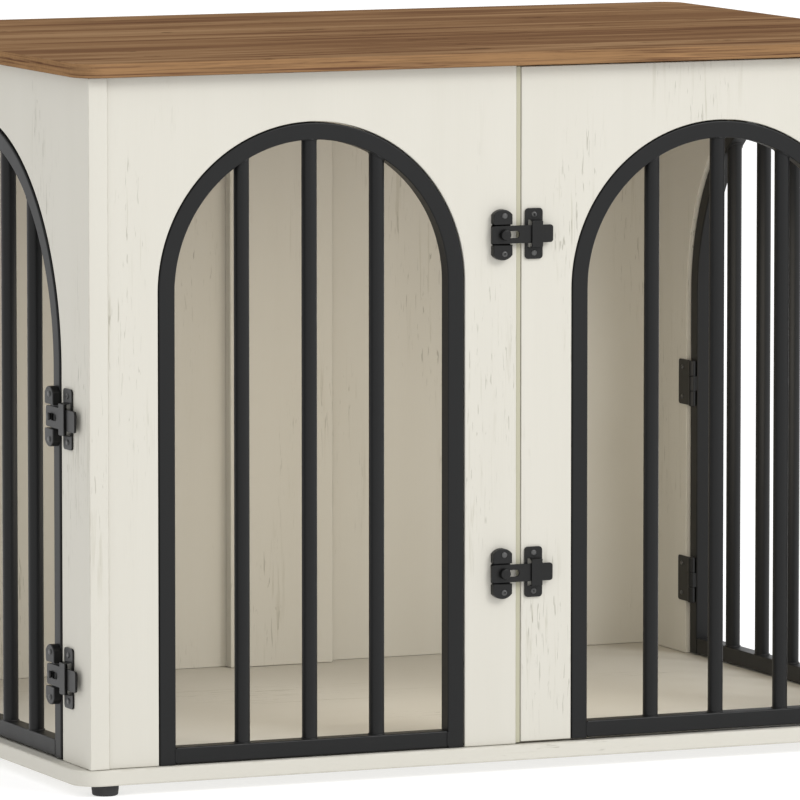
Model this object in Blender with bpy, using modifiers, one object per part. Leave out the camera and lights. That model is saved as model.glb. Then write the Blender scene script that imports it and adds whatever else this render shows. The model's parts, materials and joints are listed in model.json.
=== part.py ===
"""Furniture-style dog crate: a cream cabinet under a walnut top, with arched black bar grilles,
a hinged front door, two side doors that swing inwards, and six slide latches.

Blender 4.5, metres, +Z up. The front faces -Y, and the feet stand on Z = 0.

A face's own axes are u (to the right as that face is looked at), v (up) and w (outwards).
"""

import math
from collections import namedtuple

import bmesh
import bpy
from mathutils import Euler, Matrix, Vector

MM = 0.001
GAP = 0.3 * MM  # between pieces that touch

# Slabs
SLAB_WIDTH = 806 * MM
SLAB_DEPTH = 564 * MM
SLAB_CORNER = 22 * MM
TOP_LOW = 601 * MM
TOP_HIGH = 613 * MM
BASE_LOW = 9.4 * MM
BASE_HIGH = 22.8 * MM
BASE_WIDTH = 804 * MM
BASE_FRONT = -275 * MM
BASE_BACK = 281 * MM

# Cabinet panels
PANEL_LOW = BASE_HIGH + GAP
PANEL_HIGH = TOP_LOW - GAP
INNER_HALF = 374.2 * MM  # from the middle to a side panel's inner face
SIDE_THICK = 17 * MM
OUTER_HALF = INNER_HALF + SIDE_THICK
SIDE_FRONT = -272.4 * MM
SIDE_BACK = 281 * MM
FRONT_FACE = -270 * MM
FRONT_THICK = 15 * MM
SEAM_LEFT = -2.5 * MM  # the fixed front panel's right edge
SEAM_RIGHT = 2.0 * MM  # the front door's left edge
BACK_INNER = 276 * MM
BACK_THICK = 5 * MM
BACK_JOINT = 5 * MM
BATTEN_WIDTH = 100 * MM
BATTEN_THICK = 11.7 * MM
PANEL_EDGE = 0.8 * MM

# Front door
DOOR_LOW = 24.7 * MM
DOOR_HIGH = 599.5 * MM
DOOR_RIGHT = 372.3 * MM

# Grilles: square tube frames with round tube bars
TUBE = 14.4 * MM
TUBE_DEPTH = 15 * MM
TUBE_WALL = 1.2 * MM
BAR_RADIUS = 6.5 * MM
BAR_WALL = 1.2 * MM
ARCH_STEPS = 32
HOLLOW_STEPS = 20  # a tube's inside, which only its open feet show
Grille = namedtuple("Grille", "centre radius spring foot pitch bars")
FIXED_GRILLE = Grille(-189.4 * MM, 138.5 * MM, 419.4 * MM, 23.4 * MM, 61.3 * MM, 3)
DOOR_GRILLE = Grille(188.2 * MM, 138.5 * MM, 409.6 * MM, DOOR_LOW, 61.4 * MM, 3)
SIDE_GRILLE = Grille(8 * MM, 197.5 * MM, 353.4 * MM, 24.4 * MM, 60.8 * MM, 5)
FRONT_CLEARANCE = 1.0 * MM  # between a front grille and its cut-out
SIDE_CLEARANCE = 3.0 * MM  # round a side door
SIDE_GRILLE_PROUD = 0.6 * MM  # a side door stands this far out of the panel's face

# Hinges
BARREL_RADIUS = 3.3 * MM
PIN_RADIUS = 1.6 * MM
BORE_RADIUS = 1.69 * MM
BARREL_LENGTH = 41 * MM
KNUCKLE_HALF = 6.7 * MM
LEAF_THICK = 1.2 * MM
LEAF_REACH = 15 * MM
FRONT_AXIS = Vector((373.2 * MM, -276.1 * MM, 0))
FRONT_HINGE_HEIGHTS = {"upper": 458 * MM, "lower": 170 * MM}
SIDE_AXIS_X = 373.4 * MM
SIDE_AXIS_Y = 178.5 * MM
SIDE_LEAF_END = 206 * MM
SIDE_HINGE_HEIGHTS = {"upper": 272 * MM, "lower": 92 * MM}

# Latches, measured along the bolt from the receiver's middle
Latch = namedtuple(
    "Latch", "receiver_width height bolt_start bolt_end bolt_height knob slot_end"
    " bracket bracket_width bridge bridge_width"
)
FRONT_LATCH = Latch(
    17.5 * MM, 43 * MM, -9.85 * MM, 46.55 * MM, 15 * MM, 1.75 * MM, 16 * MM,
    30.3 * MM, 16.1 * MM, 31 * MM, 9.9 * MM,
)
SIDE_LATCH = Latch(
    19 * MM, 51 * MM, -9 * MM, 58.6 * MM, 17.8 * MM, -0.5 * MM, 15 * MM,
    29 * MM, 19 * MM, 29 * MM, 11.8 * MM,
)
PLATE_THICK = 1.5 * MM
RECEIVER_THICK = 4.8 * MM
RECEIVER_FLOOR = 1.0 * MM
RECEIVER_BULGE = 4.3 * MM
BOLT_LEVEL = 2.1 * MM  # from the panel's face to the bolt's underside
BOLT_THICK = 2.0 * MM
BRIDGE_THICK = 1.5 * MM
BRIDGE_LEG = 3.2 * MM
KNOB_RADIUS = 4.5 * MM
KNOB_HEIGHT = 4.4 * MM
SLOT_HALF = 3.1 * MM
FRONT_LATCH_U = -17.45 * MM
FRONT_LATCH_HEIGHTS = {"upper": 458 * MM, "lower": 170 * MM}
SIDE_LATCH_U = 197.4 * MM
SIDE_LATCH_HEIGHTS = {"upper": 313 * MM, "lower": 95.3 * MM}

# Feet
FOOT_RADIUS = 11.6 * MM
FOOT_SOLE_RADIUS = 9.2 * MM
FOOT_X = 373 * MM
FOOT_FRONT_Y = -258.6 * MM
FOOT_BACK_Y = 262 * MM

# A face's place: the rotation that turns its u, v, w axes into the world's
FRONT = Euler((math.pi / 2, 0, 0)).to_matrix().to_4x4()
LEFT = Euler((math.pi / 2, 0, -math.pi / 2)).to_matrix().to_4x4()
RIGHT = Euler((math.pi / 2, 0, math.pi / 2)).to_matrix().to_4x4()

CREAM = ("cream_laminate", (0.80, 0.77, 0.70, 1), 0.55, 0.0)
WALNUT = ("walnut_laminate", (0.26, 0.15, 0.085, 1), 0.5, 0.0)
BLACK = ("black_powder_coat", (0.028, 0.028, 0.03, 1), 0.42, 0.0)
HARDWARE = ("black_hardware", (0.035, 0.035, 0.037, 1), 0.38, 0.0)
RUBBER = ("black_rubber", (0.015, 0.015, 0.016, 1), 0.7, 0.0)


def clear_scene():
    for old in list(bpy.data.objects):
        bpy.data.objects.remove(old, do_unlink=True)


def new_collection(name):
    made = bpy.data.collections.new(name)
    bpy.context.scene.collection.children.link(made)
    return made


def new_material(name, colour, roughness, metallic):
    made = bpy.data.materials.new(name)
    made.use_nodes = True
    shader = made.node_tree.nodes["Principled BSDF"]
    shader.inputs["Base Color"].default_value = colour
    shader.inputs["Roughness"].default_value = roughness
    shader.inputs["Metallic"].default_value = metallic
    made.diffuse_color = colour
    return made


def add_part(name, mesh, finish, place=Matrix()):
    """A sub-part: its own object with its own material, in the crate's collection."""
    made = bpy.data.objects.new(name, mesh)
    made.matrix_world = place
    mesh.materials.clear()
    mesh.materials.append(new_material(f"{name}_{finish[0]}", *finish[1:]))
    bpy.data.collections["dog_crate"].objects.link(made)
    return made


def add_cutter(name, mesh, place=Matrix()):
    made = bpy.data.objects.new(name, mesh)
    made.matrix_world = place
    made.hide_render = True
    made.display_type = "WIRE"
    bpy.data.collections["cutters"].objects.link(made)
    return made


def boolean(target, operation, cutter):
    modifier = target.modifiers.new(cutter.name, "BOOLEAN")
    modifier.operation = operation
    modifier.solver = "EXACT"
    modifier.object = cutter


def soften(target, width, segments=1):
    """Rounds the sharp edges, and leaves an arc's own small steps alone."""
    modifier = target.modifiers.new("soften", "BEVEL")
    modifier.width = width
    modifier.segments = segments
    modifier.limit_method = "ANGLE"
    modifier.angle_limit = math.radians(40)


def box_mesh(name, low, high):
    low, high = Vector(low), Vector(high)
    shape = bmesh.new()
    size = Matrix.Diagonal((*(high - low), 1))
    bmesh.ops.create_cube(shape, size=1, matrix=Matrix.Translation((low + high) / 2) @ size)
    return finish_mesh(name, shape)


def rod_mesh(name, radius, low, high, segments=16, centre=(0, 0)):
    """A round rod along its own Z, from low to high."""
    shape = bmesh.new()
    middle = Matrix.Translation((*centre, (low + high) / 2))
    bmesh.ops.create_cone(
        shape, cap_ends=True, segments=segments, radius1=radius, radius2=radius,
        depth=high - low, matrix=middle,
    )
    return finish_mesh(name, shape)


def finish_mesh(name, shape):
    mesh = bpy.data.meshes.new(name)
    shape.to_mesh(mesh)
    shape.free()
    return mesh


def arc(centre, radius, start, end, steps):
    """Points on a circle between two angles in degrees, ends included."""
    angles = [math.radians(start + (end - start) * i / steps) for i in range(steps + 1)]
    return [(centre[0] + radius * math.cos(a), centre[1] + radius * math.sin(a)) for a in angles]


def arch_loop(half_width, low, spring, steps=ARCH_STEPS):
    """A round-topped doorway's outline, centred on u = 0."""
    return [(-half_width, low), (half_width, low)] + arc((0, spring), half_width, 0, 180, steps)


def rounded_loop(low, high, radius, steps=6):
    """A rectangle with round corners."""
    (u0, v0), (u1, v1) = low, high
    corners = [((u1, v1), -1, -1, 0), ((u0, v1), 1, -1, 90), ((u0, v0), 1, 1, 180), ((u1, v0), -1, 1, 270)]
    loop = []
    for (u, v), du, dv, start in corners:
        loop += arc((u + du * radius, v + dv * radius), radius, start, start + 90, steps)
    return loop


def prism_mesh(name, loops, low, high):
    """Flat outlines filled and raised from w = low to w = high. A second loop is a hole."""
    curve = bpy.data.curves.new(name, "CURVE")
    curve.dimensions = "2D"
    curve.fill_mode = "BOTH"
    curve.extrude = (high - low) / 2
    for loop in loops:
        spline = curve.splines.new("POLY")
        spline.points.add(len(loop) - 1)
        for point, (u, v) in zip(spline.points, loop):
            point.co = (u, v, 0, 1)
        spline.use_cyclic_u = True
    guide = bpy.data.objects.new(name, curve)
    bpy.context.scene.collection.objects.link(guide)
    bpy.context.view_layer.update()
    evaluated = guide.evaluated_get(bpy.context.evaluated_depsgraph_get())
    mesh = bpy.data.meshes.new_from_object(evaluated)
    bpy.data.objects.remove(guide)
    shape = bmesh.new()
    shape.from_mesh(mesh)
    bmesh.ops.remove_doubles(shape, verts=shape.verts, dist=0.001 * MM)
    bmesh.ops.translate(shape, verts=shape.verts, vec=(0, 0, (low + high) / 2))
    bmesh.ops.recalc_face_normals(shape, faces=shape.faces)
    shape.to_mesh(mesh)
    shape.free()
    return mesh


def face_place(face, distance, u=0.0, v=0.0):
    """The place of a point (u, v) of a face that lies this far from the world's origin."""
    return face @ Matrix.Translation((u, v, distance))


def slab(name, finish, width, front, back, low, high, edge):
    outline = rounded_loop((-width / 2, front), (width / 2, back), SLAB_CORNER)
    made = add_part(name, prism_mesh(name, [outline], low, high), finish)
    soften(made, edge, 2)


def doorway_panel(name, face, distance, thick, edges, heights, grille, clearance):
    """A panel between two edges, with a round-topped doorway that is open at the bottom."""
    half = grille.radius + clearance
    doorway = [(u + grille.centre, v) for u, v in arc((0, grille.spring), half, 180, 0, ARCH_STEPS)]
    low, high = heights
    left, right = edges
    outline = [(left, low), (grille.centre - half, low), *doorway, (grille.centre + half, low)]
    outline += [(right, low), (right, high), (left, high)]
    mesh = prism_mesh(name, [outline], -thick, 0)
    soften(add_part(name, mesh, CREAM, face_place(face, distance)), PANEL_EDGE)


def grille_frame(name, face, distance, grille, mirror=1):
    """The welded tube frame: arch, legs and sill, hollow, and open at the legs' feet."""
    centre = mirror * grille.centre
    place = face_place(face, distance, centre)
    low, inner = grille.foot, grille.radius - TUBE
    outer_loop = arch_loop(grille.radius, low, grille.spring)
    inner_loop = arch_loop(inner, low + TUBE, grille.spring)
    frame = add_part(name, prism_mesh(name, [outer_loop, inner_loop], -TUBE_DEPTH, 0), BLACK, place)
    soften(frame, 0.9 * MM)
    wall = TUBE_WALL
    hollow_loops = [
        arch_loop(grille.radius - wall, low + wall, grille.spring, HOLLOW_STEPS),
        arch_loop(inner + wall, low + TUBE - wall, grille.spring, HOLLOW_STEPS),
    ]
    hollow = prism_mesh(f"{name}_hollow", hollow_loops, wall - TUBE_DEPTH, -wall)
    boolean(frame, "DIFFERENCE", add_cutter(f"{name}_hollow", hollow, place))
    for side, sign in (("left", -1), ("right", 1)):
        middle = sign * (grille.radius - TUBE / 2)
        reach = TUBE / 2 - wall
        mouth = box_mesh(
            f"{name}_mouth_{side}",
            (middle - reach, low - wall, wall - TUBE_DEPTH),
            (middle + reach, low + 2 * wall, -wall),
        )
        boolean(frame, "DIFFERENCE", add_cutter(mouth.name, mouth, place))
    return frame


def grille_bars(name, face, distance, grille, mirror=1):
    """Round tube bars from the sill's top to the arch's underside, numbered from the left."""
    centre = mirror * grille.centre
    middle = distance - TUBE_DEPTH / 2
    reach = grille.radius - TUBE - GAP
    loop = arch_loop(reach, grille.foot + TUBE + GAP, grille.spring)
    zone = prism_mesh(f"{name}_zone", [loop], -TUBE_DEPTH, TUBE_DEPTH)
    zone = add_cutter(zone.name, zone, face_place(face, middle, centre))
    top = grille.spring + grille.radius
    for number in range(grille.bars):
        offset = grille.pitch * (number - (grille.bars - 1) / 2)
        spot = face_place(face, middle, centre + offset) @ Matrix.Rotation(-math.pi / 2, 4, "X")
        label = f"{name}_{number + 1}"
        bar = add_part(label, rod_mesh(label, BAR_RADIUS, 0, top), BLACK, spot)
        bore = rod_mesh(f"{label}_bore", BAR_RADIUS - BAR_WALL, -TUBE, top + TUBE)
        boolean(bar, "INTERSECT", zone)
        boolean(bar, "DIFFERENCE", add_cutter(bore.name, bore, spot))


def knuckle_ring(target, axis, height, tab_low, tab_high):
    """Joins a bored knuckle and the tab that carries it onto a moving piece."""
    place = Matrix.Translation((axis.x, axis.y, height))
    ring = rod_mesh(f"{target.name}_ring", BARREL_RADIUS, -KNUCKLE_HALF, KNUCKLE_HALF)
    ring = add_cutter(f"{target.name}_ring_{round(height / MM)}", ring, place)
    tab = box_mesh(
        f"{target.name}_tab", (*tab_low, height - KNUCKLE_HALF + GAP),
        (*tab_high, height + KNUCKLE_HALF - GAP),
    )
    tab = add_cutter(f"{target.name}_tab_{round(height / MM)}", tab)
    bore = rod_mesh(f"{target.name}_bore", BORE_RADIUS, -BARREL_LENGTH / 2, BARREL_LENGTH / 2)
    bore = add_cutter(f"{target.name}_bore_{round(height / MM)}", bore, place)
    boolean(target, "UNION", tab)
    boolean(target, "UNION", ring)
    boolean(target, "DIFFERENCE", bore)


def fixed_leaf(name, axis, height, plate_low, plate_high):
    """A leaf with its two outer knuckles and the pin, as one riveted piece."""
    half = BARREL_LENGTH / 2
    plate = box_mesh(name, (*plate_low, -half), (*plate_high, half))
    leaf = add_part(name, plate, HARDWARE, Matrix.Translation((0, 0, height)))
    place = Matrix.Translation((axis.x, axis.y, height))
    clear = KNUCKLE_HALF + GAP
    room = BARREL_RADIUS + GAP
    notch = box_mesh(
        f"{name}_notch", (axis.x - room, axis.y - room, height - clear),
        (axis.x + room, axis.y + room, height + clear),
    )
    boolean(leaf, "DIFFERENCE", add_cutter(notch.name, notch))
    for end, low, high in (("low", -half, -clear), ("high", clear, half)):
        knuckle = rod_mesh(f"{name}_{end}", BARREL_RADIUS, low, high)
        boolean(leaf, "UNION", add_cutter(knuckle.name, knuckle, place))
    pin = rod_mesh(f"{name}_pin", PIN_RADIUS, -half + GAP, half - GAP)
    boolean(leaf, "UNION", add_cutter(pin.name, pin, place))


def front_hinge(level):
    """A surface hinge: its fixed leaf on the side panel's front edge, the other on the door."""
    height = FRONT_HINGE_HEIGHTS[level]
    axis = FRONT_AXIS
    edge = SIDE_FRONT - GAP
    fixed_leaf(
        f"front_hinge_{level}_fixed_leaf", axis, height,
        (axis.x, edge - LEAF_THICK), (axis.x + LEAF_REACH, edge),
    )
    name = f"front_hinge_{level}_door_leaf"
    half = BARREL_LENGTH / 2
    face = FRONT_FACE - GAP
    plate = box_mesh(
        name, (DOOR_RIGHT - LEAF_REACH, face - LEAF_THICK, height - half),
        (DOOR_RIGHT - 2 * GAP, face, height + half),
    )
    leaf = add_part(name, plate, HARDWARE)
    for end, sign in (("low", -1), ("high", 1)):
        near, far = sign * (KNUCKLE_HALF + GAP), sign * 2 * half
        notch = box_mesh(
            f"{name}_{end}", (axis.x - BARREL_RADIUS - GAP, axis.y - TUBE, height + min(near, far)),
            (axis.x + TUBE, axis.y + TUBE, height + max(near, far)),
        )
        boolean(leaf, "DIFFERENCE", add_cutter(notch.name, notch))
    knuckle_ring(
        leaf, axis, height, (DOOR_RIGHT - 4 * MM, axis.y),
        (DOOR_RIGHT - 2 * GAP, face),
    )


def side_hinges(side, sign, frame):
    """Leaves on the side panel's inner face. The door's knuckles are welded to its rear tube."""
    axis = Vector((sign * SIDE_AXIS_X, SIDE_AXIS_Y, 0))
    leaf_x = sorted((sign * (INNER_HALF - GAP), sign * (INNER_HALF - GAP - LEAF_THICK)))
    tube_face = OUTER_HALF + SIDE_GRILLE_PROUD - TUBE_DEPTH
    tab_x = sorted((axis.x, sign * (tube_face + TUBE_WALL / 2)))
    for level, height in SIDE_HINGE_HEIGHTS.items():
        fixed_leaf(
            f"side_{side}_hinge_{level}_leaf", axis, height,
            (leaf_x[0], axis.y), (leaf_x[1], SIDE_LEAF_END),
        )
        knuckle_ring(
            frame, axis, height, (tab_x[0], axis.y - BARREL_RADIUS * 0.8),
            (tab_x[1], axis.y + BARREL_RADIUS * 0.8),
        )


def latch_receiver(name, face, distance, u, v, latch, depth):
    """The plate that takes the bolt's near end in a channel between two raised lobes."""
    half_u = latch.receiver_width / 2
    half_v = latch.height / 2
    shoulder = half_v - RECEIVER_BULGE
    radius = (half_u**2 + RECEIVER_BULGE**2) / (2 * RECEIVER_BULGE)
    spread = math.degrees(math.asin(half_u / radius))
    outline = arc((0, half_v - radius), radius, 90 - spread, 90 + spread, 10)
    outline += arc((0, radius - half_v), radius, 270 - spread, 270 + spread, 10)
    place = face_place(face, distance + GAP, u, v)
    made = add_part(name, prism_mesh(name, [outline], 0, depth), HARDWARE, place)
    soften(made, 0.6 * MM)
    channel = latch.bolt_height / 2 + 0.4 * MM
    cutter = box_mesh(
        f"{name}_channel", (-2 * half_u, -channel, RECEIVER_FLOOR), (2 * half_u, channel, shoulder),
    )
    boolean(made, "DIFFERENCE", add_cutter(cutter.name, cutter, place))


def latch_bracket(name, face, distance, u, v, latch, way):
    """The screwed plate with the bridge that the bolt slides through."""
    place = face_place(face, distance + GAP, u + way * latch.bracket, v)
    half = Vector((latch.bracket_width / 2, latch.height / 2))
    plate = prism_mesh(name, [rounded_loop(-half, half, 3 * MM, 4)], 0, PLATE_THICK)
    made = add_part(name, plate, HARDWARE, place)
    middle = way * (latch.bridge - latch.bracket)
    reach = latch.bridge_width / 2
    tunnel = latch.bolt_height / 2 + 0.4 * MM
    roof = BOLT_LEVEL + BOLT_THICK
    block = box_mesh(
        f"{name}_bridge", (middle - reach, -tunnel - BRIDGE_LEG, PLATE_THICK / 2),
        (middle + reach, tunnel + BRIDGE_LEG, roof + BRIDGE_THICK),
    )
    bridge = add_cutter(block.name, block, place)
    soften(bridge, 0.8 * MM)
    boolean(made, "UNION", bridge)
    hole = box_mesh(
        f"{name}_tunnel", (-4 * reach, -tunnel, PLATE_THICK), (4 * reach, tunnel, roof),
    )
    boolean(made, "DIFFERENCE", add_cutter(hole.name, hole, place))


def latch_bolt(name, face, distance, u, v, latch, way):
    """The flat bolt with its long hole and its round knob."""
    place = face_place(face, distance + BOLT_LEVEL, u, v)
    half = latch.bolt_height / 2
    ends = sorted((way * latch.bolt_start, way * latch.bolt_end))
    outline = rounded_loop((ends[0], -half), (ends[1], half), 2.5 * MM, 4)
    hole_ends = sorted((way * (latch.knob + 2.6 * MM), way * latch.slot_end))
    hole = rounded_loop((hole_ends[0], -SLOT_HALF), (hole_ends[1], SLOT_HALF), SLOT_HALF - GAP)
    mesh = prism_mesh(name, [outline, hole], 0, BOLT_THICK)
    made = add_part(name, mesh, HARDWARE, place)
    knob = rod_mesh(
        f"{name}_knob", KNOB_RADIUS, BOLT_THICK / 2, BOLT_THICK + KNOB_HEIGHT,
        centre=(way * latch.knob, 0),
    )
    knob = add_cutter(knob.name, knob, place)
    soften(knob, 0.7 * MM)
    boolean(made, "UNION", knob)


def add_latch(prefix, face, wood, receiver_base, u, heights, latch, way):
    """Upper and lower latch on one face. way is +1 where the bolt draws back to the right."""
    depth = RECEIVER_THICK + wood - receiver_base
    for level, v in heights.items():
        latch_receiver(f"{prefix}_{level}_receiver", face, receiver_base, u, v, latch, depth)
        latch_bracket(f"{prefix}_{level}_bracket", face, wood, u, v, latch, way)
        latch_bolt(f"{prefix}_{level}_bolt", face, wood, u, v, latch, way)


def add_foot(name, x, y):
    """A turned glide, a little narrower at its sole."""
    shape = bmesh.new()
    profile = [
        (0, BASE_LOW - GAP), (FOOT_RADIUS, BASE_LOW - GAP), (FOOT_RADIUS - 0.5 * MM, 3 * MM),
        (FOOT_SOLE_RADIUS + 0.9 * MM, 0.8 * MM), (FOOT_SOLE_RADIUS, 0), (0, 0),
    ]
    points = [shape.verts.new((radius, 0, height)) for radius, height in profile]
    for first, second in zip(points, points[1:]):
        shape.edges.new((first, second))
    foot = add_part(name, finish_mesh(name, shape), RUBBER, Matrix.Translation((x, y, 0)))
    turned = foot.modifiers.new("turned", "SCREW")
    turned.steps = 20
    turned.render_steps = 20
    turned.use_merge_vertices = True
    turned.merge_threshold = 0.01 * MM


def build_cabinet():
    half_depth = SLAB_DEPTH / 2
    slab("top_slab", WALNUT, SLAB_WIDTH, -half_depth, half_depth, TOP_LOW, TOP_HIGH, 1.6 * MM)
    slab("base_slab", CREAM, BASE_WIDTH, BASE_FRONT, BASE_BACK, BASE_LOW, BASE_HIGH, 1.2 * MM)
    heights = (PANEL_LOW, PANEL_HIGH)
    doorway_panel(
        "side_panel_left", LEFT, OUTER_HALF, SIDE_THICK, (-SIDE_BACK, -SIDE_FRONT), heights,
        SIDE_GRILLE, SIDE_CLEARANCE,
    )
    mirrored = SIDE_GRILLE._replace(centre=-SIDE_GRILLE.centre)
    doorway_panel(
        "side_panel_right", RIGHT, OUTER_HALF, SIDE_THICK, (SIDE_FRONT, SIDE_BACK), heights,
        mirrored, SIDE_CLEARANCE,
    )
    doorway_panel(
        "front_panel_left", FRONT, -FRONT_FACE, FRONT_THICK, (GAP - INNER_HALF, SEAM_LEFT), heights,
        FIXED_GRILLE, FRONT_CLEARANCE,
    )
    back = (BACK_INNER, BACK_INNER + BACK_THICK)
    for side, left, right in (
        ("left", GAP - INNER_HALF, BACK_JOINT - GAP), ("right", BACK_JOINT + GAP, INNER_HALF - GAP),
    ):
        name = f"back_panel_{side}"
        add_part(name, box_mesh(name, (left, back[0], PANEL_LOW), (right, back[1], PANEL_HIGH)), CREAM)
    batten = box_mesh(
        "back_batten", (BACK_JOINT - BATTEN_WIDTH / 2, BACK_INNER - GAP - BATTEN_THICK, PANEL_LOW),
        (BACK_JOINT + BATTEN_WIDTH / 2, BACK_INNER - GAP, PANEL_HIGH),
    )
    soften(add_part("back_batten", batten, CREAM), PANEL_EDGE)
    for side, x in (("left", -FOOT_X), ("right", FOOT_X)):
        add_foot(f"foot_front_{side}", x, FOOT_FRONT_Y)
        add_foot(f"foot_back_{side}", x, FOOT_BACK_Y)


def build_front():
    grille_frame("front_grille_frame", FRONT, -FRONT_FACE, FIXED_GRILLE)
    grille_bars("front_grille_bar", FRONT, -FRONT_FACE, FIXED_GRILLE)
    doorway_panel(
        "front_door_panel", FRONT, -FRONT_FACE, FRONT_THICK, (SEAM_RIGHT, DOOR_RIGHT),
        (DOOR_LOW, DOOR_HIGH), DOOR_GRILLE, FRONT_CLEARANCE,
    )
    grille_frame("front_door_grille_frame", FRONT, -FRONT_FACE, DOOR_GRILLE)
    grille_bars("front_door_bar", FRONT, -FRONT_FACE, DOOR_GRILLE)
    front_hinge("upper")
    front_hinge("lower")
    add_latch(
        "front_latch", FRONT, -FRONT_FACE, -FRONT_FACE, FRONT_LATCH_U, FRONT_LATCH_HEIGHTS,
        FRONT_LATCH, 1,
    )


def build_side_doors():
    distance = OUTER_HALF + SIDE_GRILLE_PROUD
    for side, face, mirror in (("left", LEFT, 1), ("right", RIGHT, -1)):
        frame = grille_frame(f"side_{side}_door_frame", face, distance, SIDE_GRILLE, mirror)
        grille_bars(f"side_{side}_door_bar", face, distance, SIDE_GRILLE, mirror)
        side_hinges(side, -mirror, frame)
        add_latch(
            f"side_{side}_latch", face, OUTER_HALF, distance, mirror * SIDE_LATCH_U,
            SIDE_LATCH_HEIGHTS, SIDE_LATCH, mirror,
        )


def main():
    clear_scene()
    new_collection("dog_crate")
    new_collection("cutters")
    build_cabinet()
    build_front()
    build_side_doors()


main()
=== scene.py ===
"""The looks of a cabinet-style dog crate: laminated boards, tube grilles, hinges and latches.

It is laid out as an add-on and run as a script. Lengths are in metres, +Z is up and the front
faces -Y. A face's own axes are u (to the right as that face is looked at), v (up) and w (out).
"""

import json
import math

import bmesh
import bpy
from bpy.props import FloatProperty, FloatVectorProperty, IntProperty, PointerProperty
from mathutils import Euler, Matrix, Vector

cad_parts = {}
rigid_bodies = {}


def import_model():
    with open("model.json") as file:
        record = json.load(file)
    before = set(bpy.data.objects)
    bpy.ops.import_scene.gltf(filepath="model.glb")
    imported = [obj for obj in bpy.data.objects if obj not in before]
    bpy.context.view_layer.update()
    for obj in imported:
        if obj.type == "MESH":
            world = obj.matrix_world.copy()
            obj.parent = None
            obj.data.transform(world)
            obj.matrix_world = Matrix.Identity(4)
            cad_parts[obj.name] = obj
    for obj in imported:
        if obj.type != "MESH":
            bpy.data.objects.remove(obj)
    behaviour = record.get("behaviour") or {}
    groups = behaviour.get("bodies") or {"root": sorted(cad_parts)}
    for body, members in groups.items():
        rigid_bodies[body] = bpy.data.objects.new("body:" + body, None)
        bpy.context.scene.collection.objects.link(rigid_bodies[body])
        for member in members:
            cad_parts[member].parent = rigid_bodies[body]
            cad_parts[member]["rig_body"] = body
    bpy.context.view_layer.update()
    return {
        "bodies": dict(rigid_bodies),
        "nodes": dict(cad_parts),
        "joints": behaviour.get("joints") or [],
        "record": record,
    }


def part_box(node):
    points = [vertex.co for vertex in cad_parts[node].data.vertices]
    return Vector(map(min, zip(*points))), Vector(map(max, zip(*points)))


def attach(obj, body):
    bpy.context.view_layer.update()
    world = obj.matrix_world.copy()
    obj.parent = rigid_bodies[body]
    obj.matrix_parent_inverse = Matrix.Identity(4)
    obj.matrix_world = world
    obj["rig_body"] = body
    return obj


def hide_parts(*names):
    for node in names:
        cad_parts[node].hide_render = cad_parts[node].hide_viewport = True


bl_info = {
    "name": "Dog Crate Looks",
    "version": (1, 0, 0),
    "blender": (4, 5, 0),
    "location": "View3D > Sidebar > Dog Crate",
    "description": "Builds the boards, grilles, hinges and latches of a cabinet-style dog crate",
    "category": "Object",
}

MM = 0.001
PLAY = 0.3 * MM  # left between a CAD node and the one it is fixed to
UPRIGHT, LENGTHWAYS = "Z", "X"  # which way a board's grain runs
LOOK = "_look"  # ends each material's name, as the CAD nodes' own materials hold the plain ones

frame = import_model()

FRONT = Euler((math.pi / 2, 0, 0)).to_matrix().to_4x4()
LEFT = Euler((math.pi / 2, 0, -math.pi / 2)).to_matrix().to_4x4()
RIGHT = Euler((math.pi / 2, 0, math.pi / 2)).to_matrix().to_4x4()
LEVELS = ("upper", "lower")

# lift raises the strap, bolt and lobes; the others are the bolt's, from its free end
FRONT_LATCH = {
    "lift": 1.2 * MM, "knob_u": 11.6 * MM, "knob_radius": 4.5 * MM, "knob_height": 4.4 * MM,
    "slot_end": 25.8 * MM, "trim": 0,
}
SIDE_LATCH = {
    "lift": 2.2 * MM, "knob_u": 9.6 * MM, "knob_radius": 3.4 * MM, "knob_height": 2.5 * MM,
    "slot_end": 24 * MM, "trim": 2.5 * MM,
}
SIDES = (("left", LEFT, 1), ("right", RIGHT, -1))  # the last is the way a latch runs along u

THIN_BOARD_EDGE = 0.4 * MM
SHEET_EDGE = 0.35 * MM  # rounding along cut sheet metal
SHEET_CORNER = 2.5 * MM
KNUCKLE_HALF = 6.7 * MM  # half the height of a hinge's middle knuckle
HINGE_SCREW_RADIUS = 2.1 * MM
HINGE_SCREW_V = 13.5 * MM  # from the hinge's middle
WEB_INSET = 0.05 * MM  # keeps a web's face off its leaf's
FLOOR_HALF = 40  # metres

KEY_PLACE, KEY_TARGET, KEY_SIZE = (2.6, -4.2, 3.9), (0, 0, 0.3), (2.4, 2.4)
FILL_PLACE, FILL_TARGET, FILL_SIZE = (0.05, -0.165, 0.30), (0.05, 0.55, 0), (0.68, 0.28)
WHITE, WARM = (1, 1, 1), (1, 0.90, 0.74)


def length(name, description, millimetres):
    return FloatProperty(
        name=name, description=description, default=millimetres * MM, min=0, precision=4,
        unit="LENGTH",
    )


def colour(name, description, *rgb):
    return FloatVectorProperty(
        name=name, description=description, default=rgb, size=3, min=0, max=1, subtype="COLOR"
    )


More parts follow.
